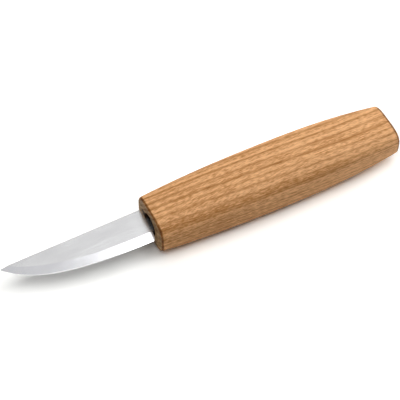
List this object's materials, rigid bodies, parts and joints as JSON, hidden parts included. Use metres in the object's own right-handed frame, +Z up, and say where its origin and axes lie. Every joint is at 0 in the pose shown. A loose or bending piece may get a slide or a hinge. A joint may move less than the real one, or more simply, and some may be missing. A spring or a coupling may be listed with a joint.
{
  "type": "wood carving knife",
  "caption": "Fixed-blade whittling knife: short upswept carbon steel blade with a wide ground bevel, hidden tang bedded in epoxy in a barrel-shaped hardwood handle.",
  "frame": {"origin": "on the surface the knife lies on, under the middle of its length, below the handle's axis", "axes": "+X along the knife from the tip to the butt, +Y from the cutting edge to the spine, +Z up, square to the blade's flats"},
  "size_m": [0.175, 0.0266, 0.0208],
  "materials": {
    "blade_steel": "fine satin, ground bevels brighter than the flats",
    "handle_wood": "oiled ring-porous hardwood, satin",
    "epoxy": "dark cured epoxy, low sheen"
  },
  "bodies": {
    "root": {"blade": "blade_steel", "handle": "handle_wood", "tang_epoxy": "epoxy"}
  },
  "joints": []
}
